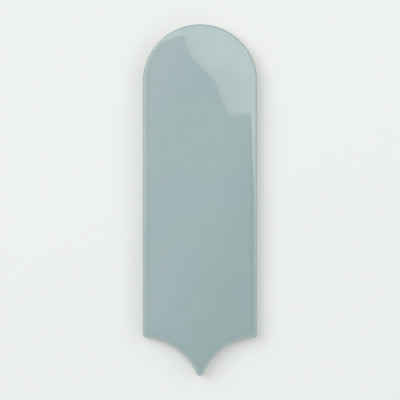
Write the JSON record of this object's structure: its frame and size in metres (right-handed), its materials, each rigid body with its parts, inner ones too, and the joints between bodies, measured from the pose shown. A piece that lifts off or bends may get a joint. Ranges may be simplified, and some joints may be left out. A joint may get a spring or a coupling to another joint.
{
  "type": "fish scale tile",
  "caption": "Long glazed ceramic wall tile with a half-round head, straight sides and a tail that runs to a point between hollow arcs, so rows nest like fish scales.",
  "frame": {"origin": "on the plane of the back, under the middle of the outline's box", "axes": "+Y along the tile towards its round head, +X across it, +Z out of the glazed face"},
  "size_m": [0.065, 0.2, 0.009],
  "materials": {
    "glazed_ceramic": "gloss blue-grey glaze on the face and rim, bare off-white fired body on the walls and back"
  },
  "bodies": {
    "root": {"fish_scale_tile": "glazed_ceramic"}
  },
  "joints": []
}
